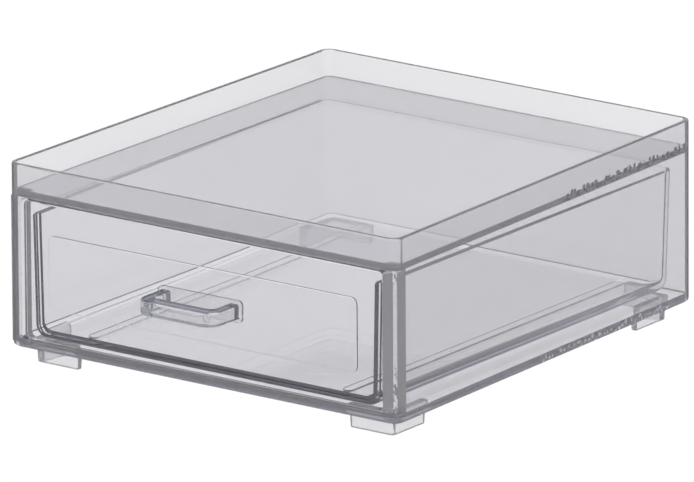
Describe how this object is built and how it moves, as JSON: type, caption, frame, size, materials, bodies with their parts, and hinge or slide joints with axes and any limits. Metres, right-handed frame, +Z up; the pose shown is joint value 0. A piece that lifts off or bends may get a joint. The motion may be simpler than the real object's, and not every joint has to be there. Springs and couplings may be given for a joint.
{
  "type": "desk organizer drawer",
  "caption": "Clear plastic stacking drawer: a low case with a raised rim, small feet and a front drawer with a loop pull that slides out.",
  "frame": {"origin": "middle of the whole object's box, on the surface that its feet stand on", "axes": "+Z up, the drawer opens towards -Y, +X to the right when facing the back from the drawer's side"},
  "size_m": [0.2596, 0.307, 0.113],
  "materials": {
    "clear_walls": "clear moulded plastic, polished",
    "clear_sheet": "clear sheet, polished faces",
    "clear_feet": "clear moulded plastic, slightly worn underneath",
    "clear_tray": "clear moulded plastic, polished",
    "clear_front": "clear moulded plastic, polished",
    "clear_handle": "clear moulded plastic, polished"
  },
  "bodies": {
    "case": {"case_walls": "clear_walls", "top_panel": "clear_sheet", "floor_panel": "clear_sheet", "foot_front_left": "clear_feet", "foot_front_right": "clear_feet", "foot_back_left": "clear_feet", "foot_back_right": "clear_feet"},
    "drawer": {"drawer_tray": "clear_tray", "drawer_front": "clear_front", "drawer_handle": "clear_handle"}
  },
  "joints": [
    {"name": "drawer_slide", "type": "slide", "parent": "case", "child": "drawer", "axis": [0, -1, 0], "range_m": [0, 0.22]}
  ]
}
